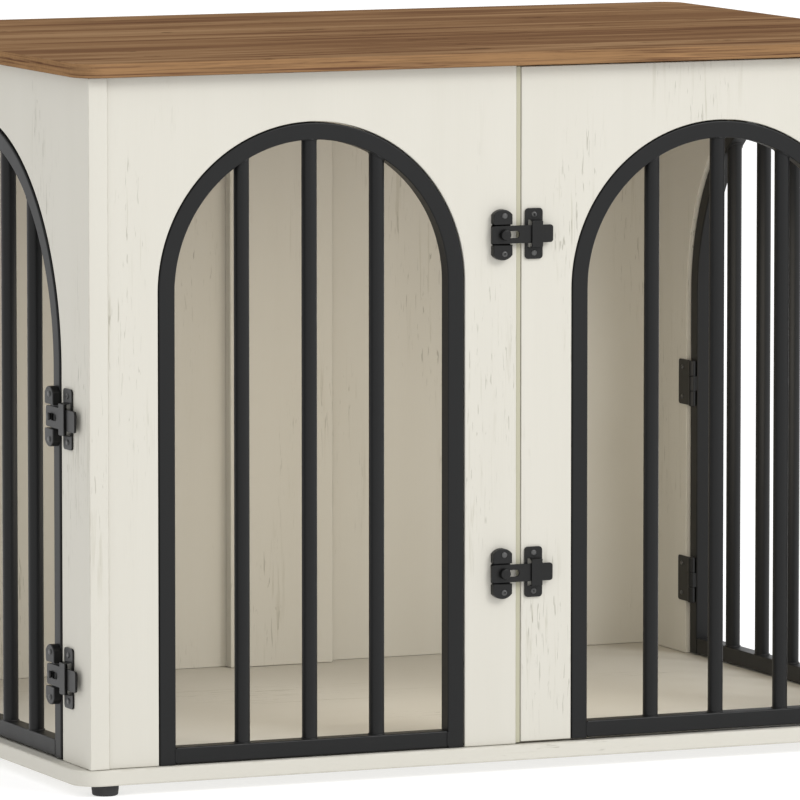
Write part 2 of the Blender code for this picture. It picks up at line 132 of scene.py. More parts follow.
class CrateSizes(bpy.types.PropertyGroup):
    """Sizes that the solids don't give, or give only roughly."""

    slab_corner: length("Slab corner", "Radius of the slabs' upright corners", 22)
    slab_edge: length("Slab edge", "Rounding along the slabs' rims", 1.6)
    board_edge: length("Board edge", "Rounding along the boards' edge banding", 0.8)
    front_clearance: length("Front clearance", "Gap round a front grille", 1)
    side_clearance: length("Side clearance", "Gap round a side door", 3)
    tube_width: length("Tube width", "Width of the grille tube as the face is looked at", 14.4)
    tube_depth: length("Tube depth", "Depth of the grille tube", 15)
    tube_corner: length("Tube corner", "Radius of the tube's long corners", 1.3)
    weld_bead: length("Weld bead", "Thickness of the weld round each bar's end", 0.9)
    barrel_radius: length("Barrel radius", "Radius of the hinge knuckles", 3.3)
    leaf_thickness: length("Leaf thickness", "Thickness of the hinge leaves", 1.2)
    screw_radius: length("Screw head", "Radius of the latch and hinge screws' heads", 2.5)
    arch_steps: IntProperty(
        name="Arch steps", description="Segments in each half circle", default=96, min=12
    )


class CrateColours(bpy.types.PropertyGroup):
    """Base colours of the finishes."""

    cream: colour("Cream", "White-washed boards", 0.548, 0.530, 0.474)
    cream_mark: colour("Cream mark", "Brushed marks in the white wash", 0.33, 0.31, 0.235)
    walnut: colour("Walnut", "The top's middle tone", 0.182, 0.103, 0.053)
    walnut_dark: colour("Walnut dark", "The top's dark streaks", 0.090, 0.042, 0.024)
    walnut_light: colour("Walnut light", "The top's light streaks", 0.262, 0.162, 0.088)
    walnut_edge: colour("Walnut edge", "The top's edge banding", 0.250, 0.142, 0.068)
    powder: colour("Powder coat", "Grille tubes and bars", 0.0045, 0.0047, 0.0048)
    hardware: colour("Hardware", "Latches and hinges", 0.006, 0.006, 0.0058)
    screw: colour("Screws", "Screw heads", 0.055, 0.055, 0.054)
    # painted shade: the lipping colour is darker than the cream partly for the edge band's tint and
    # partly to stand for the shade in the seam beside the front door
    lipping: colour("Lipping", "The strip in the seam beside the front door", 0.40, 0.385, 0.29)
    rubber: colour("Feet", "Moulded glides", 0.012, 0.012, 0.013)


class CrateStage(bpy.types.PropertyGroup):
    """The camera and the lights."""

    camera_place: FloatVectorProperty(
        name="Camera place", description="Where the camera stands", size=3, unit="LENGTH",
        default=(-3.0970, -7.1794, 1.1286),
    )
    camera_turn: FloatVectorProperty(
        name="Camera turn", description="The camera's rotation", size=3, unit="ROTATION",
        default=(math.radians(83.88), 0, math.radians(-23.381)),
    )
    lens: FloatProperty(
        name="Lens", description="Focal length on a 36 mm sensor, in millimetres", default=404.9
    )
    sky: FloatProperty(name="Sky", description="Brightness of the white surroundings", default=1.03)
    key: FloatProperty(name="Key", description="Power of the key softbox, in watts", default=170)
    fill: FloatProperty(name="Fill", description="Power of the light in the cabin", default=1.15)
    floor: colour("Floor", "The studio floor", 0.5, 0.5, 0.5)


class CrateSettings(bpy.types.PropertyGroup):
    """All of the crate's settings."""

    sizes: PointerProperty(type=CrateSizes)
    colours: PointerProperty(type=CrateColours)
    stage: PointerProperty(type=CrateStage)


def sizes():
    return bpy.context.scene.dog_crate.sizes


# Materials


class Term:
    """A socket that takes part in Python expressions, each of which adds a Math node."""

    def __init__(self, finish, socket):
        self.finish = finish
        self.socket = socket

    def _math(self, operation, first, second):
        return self.finish.node("ShaderNodeMath", {"operation": operation}, {0: first, 1: second})

    def __add__(self, other):
        return self._math("ADD", self, other)

    def __mul__(self, other):
        return self._math("MULTIPLY", self, other)

    def __sub__(self, other):
        return self._math("SUBTRACT", self, other)

    def __rsub__(self, other):
        return self._math("SUBTRACT", other, self)

    __radd__ = __add__
    __rmul__ = __mul__


class Finish:
    """One material and its nodes."""

    def __init__(self, name):
        self.material = bpy.data.materials.new(name + LOOK)
        self.material.use_nodes = True
        self.tree = self.material.node_tree
        self.surface = self.tree.nodes["Principled BSDF"]
        self.place = self.node("ShaderNodeTexCoord", output="Object")

    def node(self, kind, settings=None, sockets=None, output=0):
        """A node of this type with its settings, then its sockets' values or links."""
        made = self.tree.nodes.new(kind)
        for key, value in (settings or {}).items():
            setattr(made, key, value)
        for key, value in (sockets or {}).items():
            self.plug(made.inputs[key], value)
        return Term(self, made.outputs[output])

    def plug(self, socket, value):
        if isinstance(value, Term):
            self.tree.links.new(value.socket, socket)
        else:
            socket.default_value = value

    def set(self, **sockets):
        """The shader's own sockets, with _ for a space."""
        for key, value in sockets.items():
            self.plug(self.surface.inputs[key.replace("_", " ")], value)

    def stretched(self, scale, shift=(0, 0, 0)):
        return self.node(
            "ShaderNodeMapping", None, {"Vector": self.place, "Scale": scale, "Location": shift}
        )

    def noise(self, scale, detail=3.0, shift=(0, 0, 0), distortion=0.0, roughness=0.5):
        """Noise that repeats this many times a metre along X, Y and Z."""
        return self.node(
            "ShaderNodeTexNoise", None,
            {
                "Vector": self.stretched(scale, shift), "Scale": 1.0, "Detail": detail,
                "Roughness": roughness, "Distortion": distortion,
            },
            "Fac",
        )

    def step(self, value, low, high, bottom=0.0, top=1.0):
        """Rises smoothly from bottom to top as value goes from low to high."""
        return self.node(
            "ShaderNodeMapRange", {"interpolation_type": "SMOOTHSTEP"},
            {"Value": value, "From Min": low, "From Max": high, "To Min": bottom, "To Max": top},
        )

    def blend(self, share, first, second, mode="MIX"):
        """A colour between two others."""
        made = self.tree.nodes.new("ShaderNodeMix")
        made.data_type = "RGBA"
        made.blend_type = mode
        for key, value in (("Factor", share), (6, first), (7, second)):
            self.plug(made.inputs[key], value)
        return Term(self, made.outputs[2])

    def shade(self, base, amount):
        """A colour made lighter or darker by a value."""
        grey = self.node("ShaderNodeCombineColor", None, {0: amount, 1: amount, 2: amount})
        return self.blend(1.0, base, grey, "MULTIPLY")

    def face_mark(self, name):
        return self.node("ShaderNodeAttribute", {"attribute_name": name}, output="Fac")

    def bump(self, height, distance, strength=1.0):
        return self.node(
            "ShaderNodeBump", None, {"Height": height, "Distance": distance, "Strength": strength},
            "Normal",
        )


def opaque(rgb):
    return (*rgb, 1.0)


def along_grain(grain, along, across):
    """Scales for a pattern drawn out along the grain."""
    return (along, across, across) if grain == LENGTHWAYS else (across, across, along)


def cream_finish(name, rgb, grain, shift):
    """White wash on a printed wood grain, with clusters of thin brushed marks."""
    colours = bpy.context.scene.dog_crate.colours
    finish = Finish(name)
    clusters = finish.step(finish.noise(along_grain(grain, 4, 14), 2, shift), 0.53, 0.68)
    streaks = finish.noise(along_grain(grain, 9, 210), 4, shift, 0.5, 0.6)
    marks = finish.step(streaks, 0.57, 0.68) * clusters
    short = finish.noise(along_grain(grain, 42, 560), 2, shift, 0.8)
    ticks = finish.step(short, 0.63, 0.70) * clusters
    wash = finish.step(finish.noise(along_grain(grain, 1.6, 30), 5, shift, 0.4), 0.30, 0.72)
    tone = finish.noise(along_grain(grain, 1.2, 5), 2, shift)
    fibre = finish.noise(along_grain(grain, 24, 900), 3, shift)
    rubbed = finish.step(finish.noise((70, 70, 70), 3, shift), 0.42, 0.62)
    worn = finish.face_mark("worn_edge") * rubbed
    base = finish.blend(wash * 0.05, opaque(rgb), opaque(colours.cream_mark))
    base = finish.blend(marks * 0.36, base, opaque(colours.cream_mark))
    base = finish.blend(ticks * 0.50, base, opaque([c * 0.6 for c in colours.cream_mark]))
    base = finish.blend(worn * 0.16, base, opaque(colours.cream_mark))
    base = finish.shade(base, 0.965 + tone * 0.05 + fibre * 0.02)
    finish.set(Base_Color=base, Roughness=0.50 + marks * 0.2 + fibre * 0.08 - wash * 0.04)
    relief = fibre * 0.5 + wash * 0.5 - marks * 0.8 - ticks * 0.8
    finish.set(Normal=finish.bump(relief, 0.12 * MM, 0.6), Specular_IOR_Level=0.12)
    return finish.material


def walnut_finish():
    """Rustic walnut print along X, with a lighter banding of fine lines round the rim."""
    colours = bpy.context.scene.dog_crate.colours
    finish = Finish("walnut_laminate")
    grain = LENGTHWAYS
    broad = finish.noise(along_grain(grain, 1.3, 13), 3, (0.7, 0.2, 0), 1.2, 0.5)
    streaks = finish.noise(along_grain(grain, 2.6, 48), 5, (3.1, 0, 0), 0.8, 0.62)
    fibre = finish.noise(along_grain(grain, 12, 300), 4, (0, 1.3, 0), 0.3, 0.6)
    pores = finish.step(finish.noise(along_grain(grain, 60, 1500), 2, (1.7, 0, 0)), 0.60, 0.70)
    cracks = finish.noise(along_grain(grain, 9, 60), 4, (5.2, 2, 0), 1.8, 0.6)
    checks = finish.step(cracks, 0.62, 0.69)
    rays = finish.noise((14, 60, 60), 3, (2.2, 4.1, 0), 0.4)
    dark = finish.step(broad * 0.55 + streaks * 0.45, 0.49, 0.58)
    light = finish.step(streaks * 0.55 + broad * 0.45, 0.52, 0.40)
    calm = finish.step(finish.noise(along_grain(grain, 0.7, 5), 2, (6, 1, 0)), 0.36, 0.60, 0.45, 1)
    base = finish.blend(dark * calm * 0.76, opaque(colours.walnut), opaque(colours.walnut_dark))
    base = finish.blend(light * 0.75, base, opaque(colours.walnut_light))
    base = finish.blend(checks * 0.75, base, opaque([c * 0.45 for c in colours.walnut_dark]))
    lines = finish.noise((6, 6, 430), 4, (0.4, 0.6, 0), 0.7, 0.65)
    rim = finish.blend(
        finish.step(lines, 0.46, 0.56) * 0.8, opaque(colours.walnut_edge), opaque(colours.walnut)
    )
    rim = finish.blend(finish.step(lines, 0.55, 0.63) * 0.85, rim, opaque(colours.walnut_dark))
    base = finish.blend(finish.face_mark("edge_band"), base, rim)
    base = finish.shade(base, 0.66 + fibre * 0.48 + rays * 0.22 - pores * 0.12)
    worn = finish.face_mark("worn_edge") * finish.step(finish.noise((45, 45, 45), 3), 0.40, 0.62)
    base = finish.blend(worn * 0.22, base, opaque(colours.walnut_edge))
    finish.set(Base_Color=base, Roughness=0.50 + fibre * 0.14 - dark * 0.06 + pores * 0.08)
    relief = fibre * 0.6 - pores * 0.8 - checks + streaks * 0.3
    finish.set(Normal=finish.bump(relief, 0.10 * MM, 0.7), Specular_IOR_Level=0.0)
    return finish.material


def coated_finish(name, rgb, gloss, shine, peel, wear):
    """Coated steel: fine orange peel, faint handling marks and lighter worn edges."""
    finish = Finish(name)
    pimples = finish.noise((1100, 1100, 1100), 2)
    waves = finish.noise((160, 160, 160), 3)
    hand = finish.noise((22, 22, 9), 4, (1, 2, 3), 0.6, 0.6)
    scuffs = finish.step(finish.noise((90, 90, 900), 3, (4, 1, 0), 0.4), 0.66, 0.74)
    rubbed = finish.step(finish.noise((120, 120, 120), 3), 0.38, 0.64)
    edges = finish.face_mark("worn_edge") * rubbed
    base = finish.blend(edges * wear, opaque(rgb), opaque([min(1, 4.5 * c + 0.02) for c in rgb]))
    base = finish.shade(base, 0.82 + hand * 0.36)
    finish.set(Base_Color=base, Roughness=gloss + hand * 0.14 + scuffs * 0.10 - edges * 0.06)
    relief = pimples * 0.5 + waves * 0.5
    finish.set(Normal=finish.bump(relief, peel * MM, 0.5), Specular_IOR_Level=shine)
    return finish.material


def rubber_finish():
    """Matt moulded plastic with a fine grain and dust towards the floor."""
    finish = Finish("black_rubber")
    rgb = bpy.context.scene.dog_crate.colours.rubber
    grain = finish.noise((900, 900, 900), 3)
    dust = finish.step(finish.noise((160, 160, 90), 4), 0.45, 0.75)
    base = finish.blend(dust * 0.12, opaque(rgb), (0.16, 0.15, 0.14, 1))
    finish.set(Base_Color=base, Roughness=0.62 + dust * 0.2 + grain * 0.08)
    finish.set(Normal=finish.bump(grain, 0.06 * MM, 0.5))
    return finish.material


def get_finish(name):
    """The named material, made the first time that it is asked for."""
    found = bpy.data.materials.get(name + LOOK)
    if found:
        return found
    colours = bpy.context.scene.dog_crate.colours
    if name.startswith(("cream", "lipping")):
        grain = LENGTHWAYS if "lengthways" in name else UPRIGHT
        # the lipping's darker colour holds painted shade of the seam as well as the edge band's
        # tint
        base = colours.lipping if name == "lipping" else colours.cream
        # each board shows its own part of the pattern
        shift = (len(name) * 0.37, sum(map(ord, name)) % 17 * 0.61, 0.3)
        return cream_finish(name, base, grain, shift)
    makers = {
        "walnut_laminate": walnut_finish,
        "black_powder_coat": lambda: coated_finish(name, colours.powder, 0.36, 0.27, 0.035, 0.05),
        "black_hardware": lambda: coated_finish(name, colours.hardware, 0.30, 0.27, 0.03, 0.12),
        "screw_steel": lambda: coated_finish(name, colours.screw, 0.26, 0.5, 0.02, 0.3),
        "black_rubber": rubber_finish,
    }
    return makers[name]()


# Mesh tools


def new_shape():
    shape = bmesh.new()
    shape.faces.layers.float.new("worn_edge")
    shape.faces.layers.float.new("edge_band")
    return shape


def mark(shape, name, faces, value=1.0):
    layer = shape.faces.layers.float[name]
    for face in faces:
        face[layer] = value


def soften(shape, width, segments=3, edges=None, angle=35):
    """Rounds the sharp edges and marks the new faces as worn."""
    sharp = math.radians(angle)
    chosen = edges or [e for e in shape.edges if e.is_manifold and e.calc_face_angle(0) > sharp]
    made = bmesh.ops.bevel(
        shape, geom=chosen, offset=width, offset_type="OFFSET", segments=segments, profile=0.5,
        affect="EDGES", clamp_overlap=True, material=-1,
    )
    mark(shape, "worn_edge", made["faces"])


def add_box(shape, low, high):
    low, high = Vector(low), Vector(high)
    size = Matrix.Diagonal((*(high - low), 1))
    bmesh.ops.create_cube(shape, size=1, matrix=Matrix.Translation((low + high) / 2) @ size)


def add_rod(shape, radius, low, high, segments, centre=(0, 0)):
    middle = Matrix.Translation((*centre, (low + high) / 2))
    bmesh.ops.create_cone(
        shape, cap_ends=True, segments=segments, radius1=radius, radius2=radius,
        depth=high - low, matrix=middle,
    )


def turn(shape, profile, steps=64):
    """A solid turned about Z from (radius, height) pairs that start and end on the axis."""
    points = [shape.verts.new((radius, 0, height)) for radius, height in profile]
    edges = [shape.edges.new(pair) for pair in zip(points, points[1:])]
    bmesh.ops.spin(
        shape, geom=points + edges, cent=(0, 0, 0), axis=(0, 0, 1), angle=2 * math.pi, steps=steps,
        use_merge=True,
    )
    bmesh.ops.remove_doubles(shape, verts=shape.verts, dist=0.001 * MM)


def arc(centre, radius, start, end, steps):
    """Points on a circle between two angles in degrees, ends included."""
    angles = [math.radians(start + (end - start) * i / steps) for i in range(steps + 1)]
    return [(centre[0] + radius * math.cos(a), centre[1] + radius * math.sin(a)) for a in angles]


def ring_of_edges(shape, loop, w=0.0):
    points = [shape.verts.new((u, v, w)) for u, v in loop]
    return [shape.edges.new(pair) for pair in zip(points, points[1:] + points[:1])]


def rounded_loop(low, high, radius, steps=8):
    (u0, v0), (u1, v1) = low, high
    left, right, bottom, top = u0 + radius, u1 - radius, v0 + radius, v1 - radius
    corners = ((right, top), (left, top), (left, bottom), (right, bottom))
    loop = []
    for quarter, centre in enumerate(corners):
        loop += arc(centre, radius, quarter * 90, quarter * 90 + 90, steps)
    return loop


def verts_in(made):
    return [g for g in made if isinstance(g, bmesh.types.BMVert)]


def faces_in(made):
    return [g for g in made if isinstance(g, bmesh.types.BMFace)]


def add_plate(shape, loops, low, high):
    """Flat outlines filled at w = low and raised to w = high. Loops after the first are holes."""
    edges = [edge for loop in loops for edge in ring_of_edges(shape, loop, low)]
    if len(loops) == 1:
        faces = [shape.faces.new([edge.verts[0] for edge in edges])]
    else:
        filled = bmesh.ops.triangle_fill(shape, edges=edges, use_beauty=True, use_dissolve=False)
        faces = faces_in(filled["geom"])
    return thicken(shape, faces, (0, 0, high - low))


def thicken(shape, faces, vector):
    """Extrudes flat faces into a closed solid and gives the new end faces."""
    made = bmesh.ops.extrude_face_region(shape, geom=faces, use_keep_orig=True)["geom"]
    bmesh.ops.translate(shape, verts=verts_in(made), vec=vector)
    return faces_in(made)


def pull(shape, face, vector):
    """Extrudes an end face and gives the new end."""
    made = bmesh.ops.extrude_face_region(shape, geom=[face])["geom"]
    bmesh.ops.translate(shape, verts=verts_in(made), vec=vector)
    return faces_in(made)[0]


def merge_shape(shape, other):
    """Moves another shape's mesh into this one."""
    mesh = bpy.data.meshes.new("part")
    other.to_mesh(mesh)
    other.free()
    shape.from_mesh(mesh)
    bpy.data.meshes.remove(mesh)


def finish_piece(name, shape, finish, body, slot, place=Matrix(), stands_for=(), sharp=40):
    """Turns a shape into a piece of the crate that moves with its CAD body."""
    bmesh.ops.remove_doubles(shape, verts=shape.verts, dist=0.002 * MM)
    bmesh.ops.transform(shape, matrix=place, verts=shape.verts)
    bmesh.ops.recalc_face_normals(shape, faces=shape.faces)
    mesh = bpy.data.meshes.new(name)
    shape.to_mesh(mesh)
    shape.free()
    mesh.materials.append(get_finish(finish))
    mesh.shade_smooth()
    mesh.set_sharp_from_angle(angle=math.radians(sharp))
    piece = bpy.data.objects.new(name, mesh)
    bpy.data.collections["dog_crate"].objects.link(piece)
    even = piece.modifiers.new("even_shading", "WEIGHTED_NORMAL")
    even.keep_sharp = True
    even.weight = 90
    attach(piece, body)
    if stands_for:
        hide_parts(*stands_for)
    return piece


def body_of(node):
    return frame["nodes"][node]["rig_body"]


def slot_of(node):
    rows = frame["record"]["subparts"]
    return next(row["material_slot"] for row in rows if row["node"] == node)


def replace_node(node, shape, finish, place=Matrix(), name=None, sharp=40):
    """A finer piece in a CAD node's place."""
    return finish_piece(
        name or f"{node}_piece", shape, finish, body_of(node), slot_of(node), place, [node], sharp
    )


def face_box(node, face):
    """A node's lowest and highest corner in a face's axes."""
    turned = face.inverted()
    corners = [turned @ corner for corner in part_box(node)]
    return Vector(map(min, *corners)), Vector(map(max, *corners))


# Boards


def make_slab(node, finish, banded):
    low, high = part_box(node)
    shape = new_shape()
    outline = rounded_loop(low.xy, high.xy, sizes().slab_corner, 16)
    add_plate(shape, [outline], low.z, high.z)
    rims = [e for e in shape.edges if e.calc_face_angle(0) > math.radians(60)]
    soften(shape, sizes().slab_edge, 4, rims)
    if banded:
        shape.normal_update()
        mark(shape, "edge_band", [f for f in shape.faces if abs(f.normal.z) < 0.75])
    replace_node(node, shape, finish)


def make_plain_board(node, finish, edge):
    shape = new_shape()
    add_box(shape, *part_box(node))
    soften(shape, edge)
    replace_node(node, shape, finish)


def grille_measures(node, face):
    """A grille frame's middle, outer radius, spring line, foot and outer face."""
    low, high = face_box(node, face)
    radius = (high.x - low.x) / 2
    return (low.x + high.x) / 2, radius, high.y - radius, low.y, high.z


def make_doorway_board(node, face, grille_node, clearance, finish):
    """A board with a round-topped doorway that is open at the bottom."""
    low, high = face_box(node, face)
    centre, radius, spring = grille_measures(grille_node, face)[:3]
    half = radius + clearance
    shape = new_shape()
    doorway = arc((centre, spring), half, 180, 0, sizes().arch_steps)
    outline = [(low.x, low.y), (centre - half, low.y), *doorway, (centre + half, low.y)]
    outline += [(high.x, low.y), (high.x, high.y), (low.x, high.y)]
    add_plate(shape, [outline], low.z, high.z)
    soften(shape, sizes().board_edge, 3)
    replace_node(node, shape, finish, face)


def make_seam_strip():
    """The lipping on the fixed panel's edge, which nearly fills the seam beside the door. Its
    darker olive colour is partly the edge band's own tint and partly painted shade that stands for
    the shadowed gap beside the door.
    """
    low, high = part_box("front_panel_left")
    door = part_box("front_door_panel")[0]
    shape = new_shape()
    add_box(
        shape, (high.x - 0.05 * MM, low.y + 0.6 * MM, low.z + 1 * MM),
        (door.x - 0.5 * MM, high.y - 1 * MM, high.z - 1 * MM),
    )
    soften(shape, THIN_BOARD_EDGE)
    body = body_of("front_panel_left")
    # painted shade: this strip's darker colour stands partly for the shade in the seam beside the
    # door
    finish_piece("front_seam_lipping", shape, "lipping", body, "cream_laminate")


# Grilles


def tube_section(shape, middle, face_w, at_v):
    """The tube's rounded section, square to v."""
    size = sizes()
    half_u, half_w = size.tube_width / 2, size.tube_depth / 2
    loop = rounded_loop((-half_u, -half_w), (half_u, half_w), size.tube_corner, 4)
    points = [shape.verts.new((middle + u, at_v, face_w - half_w + w)) for u, w in loop]
    return shape.faces.new(points)


def add_weld_bead(shape, place, radius, thickness, stretch=1.0):
    """A ring of weld round a bar's end."""
    bead = new_shape()
    ring = bmesh.ops.create_circle(bead, cap_ends=False, segments=8, radius=thickness)["verts"]
    upright = Matrix.Translation((radius, 0, 0)) @ Matrix.Rotation(math.pi / 2, 4, "X")
    bmesh.ops.transform(bead, matrix=upright, verts=ring)
    bmesh.ops.spin(
        bead, geom=ring + list(bead.edges), cent=(0, 0, 0), axis=(0, 0, 1), angle=2 * math.pi,
        steps=28, use_merge=True,
    )
    matrix = place @ Matrix.Diagonal((stretch, 1, 1, 1))
    bmesh.ops.transform(bead, matrix=matrix, verts=bead.verts)
    merge_shape(shape, bead)


def make_arch_tube(node, name, face):
    size = sizes()
    centre, radius, spring, foot, outer = grille_measures(node, face)
    shape = new_shape()
    end = tube_section(shape, centre + radius - size.tube_width / 2, outer, foot)
    end = pull(shape, end, (0, spring - foot, 0))
    spun = bmesh.ops.spin(
        shape, geom=[end], cent=(centre, spring, 0), axis=(0, 0, 1), angle=math.pi,
        steps=size.arch_steps,
    )
    pull(shape, faces_in(spun["geom_last"])[0], (0, foot - spring, 0))
    replace_node(node, shape, "black_powder_coat", face, name)


def make_bar(node, frame_node, face):
    """A round bar that runs into the tube at both ends, with its weld beads."""
    size = sizes()
    centre, radius, spring, foot, outer = grille_measures(frame_node, face)
    inner = radius - size.tube_width
    low, high = face_box(node, face)
    middle = (low.x + high.x) / 2
    bar_radius = (high.x - low.x) / 2
    mid_w = outer - size.tube_depth / 2
    sill_top = foot + size.tube_width
    arch_foot = spring + math.sqrt(inner**2 - (middle - centre) ** 2)
    foot_reach, arch_reach = 1 * MM, 5 * MM  # into the tube, past the joint
    along_v = Matrix.Rotation(-math.pi / 2, 4, "X")

    shape = new_shape()
    add_rod(shape, bar_radius, sill_top - foot_reach, arch_foot + arch_reach, 48)
    upright = Matrix.Translation((middle, 0, mid_w)) @ along_v
    bmesh.ops.transform(shape, matrix=upright, verts=shape.verts)
    at_foot = Matrix.Translation((middle, sill_top, mid_w)) @ along_v
    add_weld_bead(shape, at_foot, bar_radius, size.weld_bead)
    slope = math.asin((middle - centre) / inner)
    tilt = Matrix.Rotation(-slope, 4, "Z") @ along_v
    at_arch = Matrix.Translation((middle, arch_foot, mid_w)) @ tilt
    add_weld_bead(shape, at_arch, bar_radius, size.weld_bead, 1 / math.cos(slope))
    replace_node(node, shape, "black_powder_coat", face, sharp=60)


def make_grille(frame_node, bar_nodes, face):
    size = sizes()
    centre, radius, _, foot, outer = grille_measures(frame_node, face)
    width, depth = size.tube_width, size.tube_depth
    inner = radius - width
    body, slot = body_of(frame_node), slot_of(frame_node)
    stem = frame_node.replace("_frame", "")
    make_arch_tube(frame_node, f"{stem}_arch_tube", face)

    sill = new_shape()
    seam = 0.15 * MM
    add_box(
        sill, (centre - inner + seam, foot + seam, outer - depth + seam),
        (centre + inner - seam, foot + width, outer - seam),
    )
    soften(sill, size.tube_corner, 4)
    finish_piece(f"{stem}_sill_tube", sill, "black_powder_coat", body, slot, face)

    for node in bar_nodes:
        make_bar(node, frame_node, face)
    welds = new_shape()
    for corner in (centre - inner, centre + inner):
        add_seam_weld(welds, corner, foot, outer)
    finish_piece(f"{stem}_welds", welds, "black_powder_coat", body, slot, face, sharp=80)


def add_seam_weld(shape, at_u, foot, outer):
    """The ground-down weld in the corner between a leg and the sill."""
    size = sizes()
    height = 0.25 * MM
    across = 0.9 * MM
    add_box(
        shape, (at_u - across, foot + 2 * MM, outer - size.tube_depth - height),
        (at_u + across, foot + size.tube_width - 1 * MM, outer + height),
    )


# Hinges and screws


def add_screw(shape, place, radius):
    """A domed head with a cross recess, standing on w = 0."""
    height = radius * 0.42
    dome = (
        (radius, 0.0), (radius * 0.97, height * 0.45), (radius * 0.80, height * 0.82),
        (radius * 0.62, height),
    )
    start = len(shape.verts)
    rings = []
    for ring_radius, level in dome:
        made = bmesh.ops.create_circle(
            shape, cap_ends=False, segments=24, radius=ring_radius,
            matrix=Matrix.Translation((0, 0, level)),
        )
        rings.append(list({edge for vert in made["verts"] for edge in vert.link_edges}))
    for first, second in zip(rings, rings[1:]):
        bmesh.ops.bridge_loops(shape, edges=first + second)
    arm, half = radius * 0.46, radius * 0.11
    cross = []
    for quarter in range(4):
        spin = Matrix.Rotation(quarter * math.pi / 2, 2)
        cross += [tuple(spin @ Vector(p)) for p in ((half, half), (half, arm), (-half, arm))]
    cross_edges = ring_of_edges(shape, cross, height)
    bmesh.ops.triangle_fill(shape, edges=rings[-1] + cross_edges, use_beauty=True)
    recess = shape.faces.new([edge.verts[0] for edge in cross_edges])
    sunk = pull(shape, recess, (0, 0, -height * 0.8))
    mark(shape, "worn_edge", sunk.edges[0].link_faces)
    bmesh.ops.contextual_create(shape, geom=rings[0])
    shape.verts.ensure_lookup_table()
    bmesh.ops.transform(shape, matrix=place, verts=shape.verts[start:])


def add_screws(node, spots, radius, face):
    """The screws that hold a node, each turned its own way."""
    shape = new_shape()
    for count, spot in enumerate(spots):
        place = Matrix.Translation(spot) @ Matrix.Rotation(0.4 + 1.3 * count, 4, "Z")
        add_screw(shape, place, radius)
    finish_piece(f"{node}_screws", shape, "screw_steel", body_of(node), slot_of(node), face)


def joint_axis(name):
    return Vector(next(j for j in frame["joints"] if j["name"] == name)["pos_m"]).xy


def knuckle_spans(low, high):
    """A hinge's middle, the heights of its outer two knuckles, and those of the one between."""
    middle = (low + high) / 2
    bottom, top = middle - KNUCKLE_HALF, middle + KNUCKLE_HALF
    return middle, ((low, bottom - PLAY), (top + PLAY, high)), (bottom, top)


def add_knuckle(shape, axis, low, high):
    """A rolled knuckle with eased ends, about an upright axis."""
    knuckle = new_shape()
    add_rod(knuckle, sizes().barrel_radius, low, high, 32, axis)
    soften(knuckle, SHEET_EDGE, 2)
    merge_shape(shape, knuckle)


def add_pin_heads(shape, axis, low, high):
    for level, way in ((low, -1), (high, 1)):
        head = bmesh.ops.create_uvsphere(shape, u_segments=20, v_segments=10, radius=2.1 * MM)
        place = Matrix.Translation((*axis, level + way * 0.1 * MM))
        squash = Matrix.Diagonal((1, 1, 0.35, 1))
        bmesh.ops.transform(shape, matrix=place @ squash, verts=head["verts"])


def add_leaf(shape, low, high, face):
    """A leaf between two corners in the crate's axes, its own corners rounded."""
    plate = new_shape()
    turned = face.inverted()
    corners = [turned @ Vector(corner) for corner in (low, high)]
    (u0, v0, w0), (u1, v1, w1) = map(min, *corners), map(max, *corners)
    add_plate(plate, [rounded_loop((u0, v0), (u1, v1), SHEET_CORNER, 6)], w0, w1)
    soften(plate, 0.3 * MM, 2)
    bmesh.ops.transform(plate, matrix=face, verts=plate.verts)
    merge_shape(shape, plate)


def make_front_hinge(level):
    size = sizes()
    axis = joint_axis("front_door_hinge")
    fixed, moving = f"front_hinge_{level}_fixed_leaf", f"front_hinge_{level}_door_leaf"
    low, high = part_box(fixed)
    door_low, door_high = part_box(moving)
    middle, outer_spans, (bottom, top) = knuckle_spans(low.z, high.z)
    clear = size.barrel_radius + PLAY  # from the axis to a leaf's edge
    front, door_front = high.y - size.leaf_thickness, door_high.y - size.leaf_thickness

    shape = new_shape()
    add_leaf(shape, (axis.x + clear, front, low.z), high, FRONT)
    for near, far in outer_spans:
        add_knuckle(shape, axis, near, far)
        add_box(
            shape, (axis.x, front, near + PLAY),
            (axis.x + 6 * MM, high.y - WEB_INSET, far - PLAY),
        )
    add_pin_heads(shape, axis, low.z, high.z)
    replace_node(fixed, shape, "black_hardware")

    shape = new_shape()
    add_leaf(
        shape, (door_low.x, door_front, door_low.z), (axis.x - clear, door_high.y, door_high.z),
        FRONT,
    )
    add_knuckle(shape, axis, bottom, top)
    add_box(
        shape, (axis.x - 4.8 * MM, axis.y, bottom + PLAY),
        (axis.x - 1.5 * MM, door_high.y - WEB_INSET, top - PLAY),
    )
    replace_node(moving, shape, "black_hardware")

    for node, plate_u, face_y in (
        (fixed, (axis.x + 4 * MM + high.x) / 2, front),
        (moving, (door_low.x + axis.x - 5 * MM) / 2, door_front),
    ):
        spots = [(plate_u, middle + step * HINGE_SCREW_V, -face_y) for step in (-1, 1)]
        add_screws(node, spots, HINGE_SCREW_RADIUS, FRONT)


